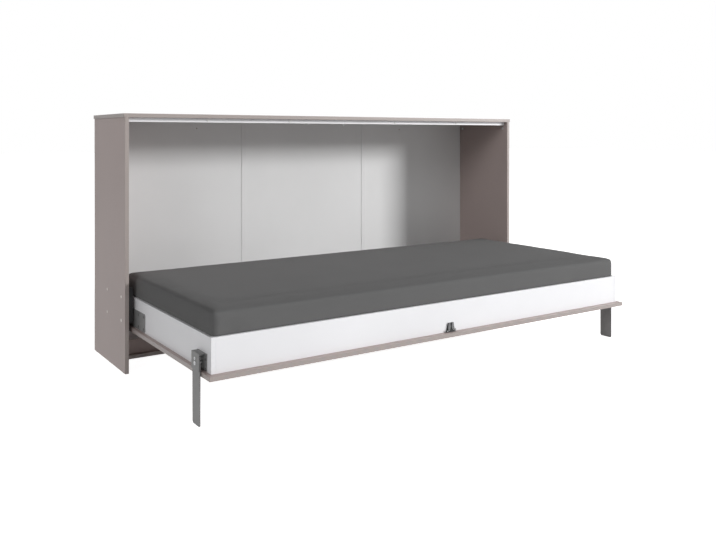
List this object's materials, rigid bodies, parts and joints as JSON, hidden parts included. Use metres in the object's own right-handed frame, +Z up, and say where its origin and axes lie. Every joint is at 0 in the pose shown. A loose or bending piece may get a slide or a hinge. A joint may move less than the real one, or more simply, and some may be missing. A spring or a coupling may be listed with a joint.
{
  "type": "folding bed",
  "caption": "Low cabinet with a slatted bed and mattress that folds down sideways on side hinges and gas struts, resting on hinged legs.",
  "frame": {"origin": "on the floor, midway along the cabinet and midway between the open bed front edge and the cabinet back", "axes": "+X along the cabinet towards the right as seen from the room, +Y from the room towards the wall, +Z up; stored open"},
  "size_m": [2.138, 1.206, 1.05],
  "materials": {
    "taupe_board": "melamine faced chipboard, matt taupe with a faint film texture",
    "white_board": "melamine faced chipboard, matt white",
    "raw_board": "melamine faced chipboard, taupe, out of sight behind the back",
    "back_sheet": "thin white lacquered hardboard",
    "white_plastic": "white extruded profile",
    "black_plastic": "black moulded plastic",
    "grey_plastic": "pale grey moulded plastic",
    "felt": "pale pressed felt",
    "bare_wood": "bare beech and birch",
    "black_steel": "black powder coat",
    "grey_steel": "grey coated steel, satin",
    "plated_steel": "zinc plated",
    "mattress_cover": "dark grey woven cover"
  },
  "bodies": {
    "cabinet": {"side_panel_left": "taupe_board", "side_panel_right": "taupe_board", "top_panel": "taupe_board", "stop_rail": "white_board", "base_board": "taupe_board", "kick_rail": "taupe_board", "wall_rail_top": "raw_board", "wall_rail_bottom": "raw_board", "back_panel_1": "back_sheet", "back_panel_2": "back_sheet", "back_panel_3": "back_sheet", "back_joint_strips": "white_plastic", "wall_bracket": "plated_steel", "floor_glides": "black_plastic", "door_buffers": "felt", "cam_locks": "plated_steel", "cam_bolts": "plated_steel", "cabinet_dowels": "bare_wood", "hinge_plate_left": "black_steel", "hinge_plate_right": "black_steel", "hinge_bolts": "plated_steel", "cover_caps": "grey_plastic", "pivot_pin_left": "plated_steel", "pivot_pin_right": "plated_steel", "strut_pin_left": "plated_steel", "strut_pin_right": "plated_steel", "strike_pin": "plated_steel"},
    "bed": {"door_panel": "taupe_board", "end_rail_left": "white_board", "end_rail_right": "white_board", "front_rail": "white_board", "rear_rail": "white_board", "frame_dowels": "bare_wood", "slat_ledge_front": "bare_wood", "slat_ledge_rear": "bare_wood", "slats": "bare_wood", "slat_holders": "black_plastic", "frame_angles": "plated_steel", "bed_plate_left": "grey_steel", "bed_plate_right": "grey_steel", "bed_plate_screws": "plated_steel", "leg_bracket_left": "grey_steel", "leg_bracket_right": "grey_steel", "leg_bolts": "plated_steel", "leg_spacers": "plated_steel", "latch_case": "plated_steel", "latch_pins": "plated_steel", "latch_screws": "plated_steel", "mattress": "mattress_cover"},
    "leg_left": {"leg_left": "grey_steel"},
    "leg_right": {"leg_right": "grey_steel"},
    "strut_left": {"strut_tube_left": "black_steel"},
    "strut_right": {"strut_tube_right": "black_steel"},
    "rod_left": {"strut_rod_left": "plated_steel"},
    "rod_right": {"strut_rod_right": "plated_steel"},
    "jaw_left": {"latch_jaw_left": "plated_steel"},
    "jaw_right": {"latch_jaw_right": "plated_steel"}
  },
  "joints": [
    {"name": "bed_fold", "type": "hinge", "parent": "cabinet", "child": "bed", "pos_m": [0, 0.217, 0.21], "axis": [-1, 0, 0], "range_deg": [0, 90]},
    {"name": "leg_fold_left", "type": "hinge", "parent": "bed", "child": "leg_left", "pos_m": [-1.038, -0.5045, 0.206], "axis": [1, 0, 0], "range_deg": [0, 90.5]},
    {"name": "leg_fold_right", "type": "hinge", "parent": "bed", "child": "leg_right", "pos_m": [1.038, -0.5045, 0.206], "axis": [1, 0, 0], "range_deg": [0, 90.5]},
    {"name": "strut_swing_left", "type": "hinge", "parent": "cabinet", "child": "strut_left", "pos_m": [-1.033, 0.422, 0.322], "axis": [-1, 0, 0], "range_deg": [0, 4]},
    {"name": "rod_slide_left", "type": "slide", "parent": "strut_left", "child": "rod_left", "axis": [0, -0.7744, -0.6327], "range_m": [0, 0.07]},
    {"name": "strut_swing_right", "type": "hinge", "parent": "cabinet", "child": "strut_right", "pos_m": [1.033, 0.422, 0.322], "axis": [-1, 0, 0], "range_deg": [0, 4]},
    {"name": "rod_slide_right", "type": "slide", "parent": "strut_right", "child": "rod_right", "axis": [0, -0.7744, -0.6327], "range_m": [0, 0.07]},
    {"name": "jaw_swing_left", "type": "hinge", "parent": "bed", "child": "jaw_left", "pos_m": [-0.012, -0.583, 0.189], "axis": [0, -1, 0], "range_deg": [0, 6], "stiffness_Nm_per_rad": 0.2},
    {"name": "jaw_swing_right", "type": "hinge", "parent": "bed", "child": "jaw_right", "pos_m": [0.012, -0.583, 0.189], "axis": [0, 1, 0], "range_deg": [0, 6], "stiffness_Nm_per_rad": 0.2}
  ],
  "couplings": [
    {"joint": "leg_fold_left", "follows": "bed_fold", "ratio": 1},
    {"joint": "leg_fold_right", "follows": "bed_fold", "ratio": 1},
    {"joint": "strut_swing_left", "follows": "bed_fold", "ratio": 0.040594},
    {"joint": "rod_slide_left", "follows": "bed_fold", "m_per_rad": 0.043984},
    {"joint": "strut_swing_right", "follows": "bed_fold", "ratio": 0.040594},
    {"joint": "rod_slide_right", "follows": "bed_fold", "m_per_rad": 0.043984}
  ]
}
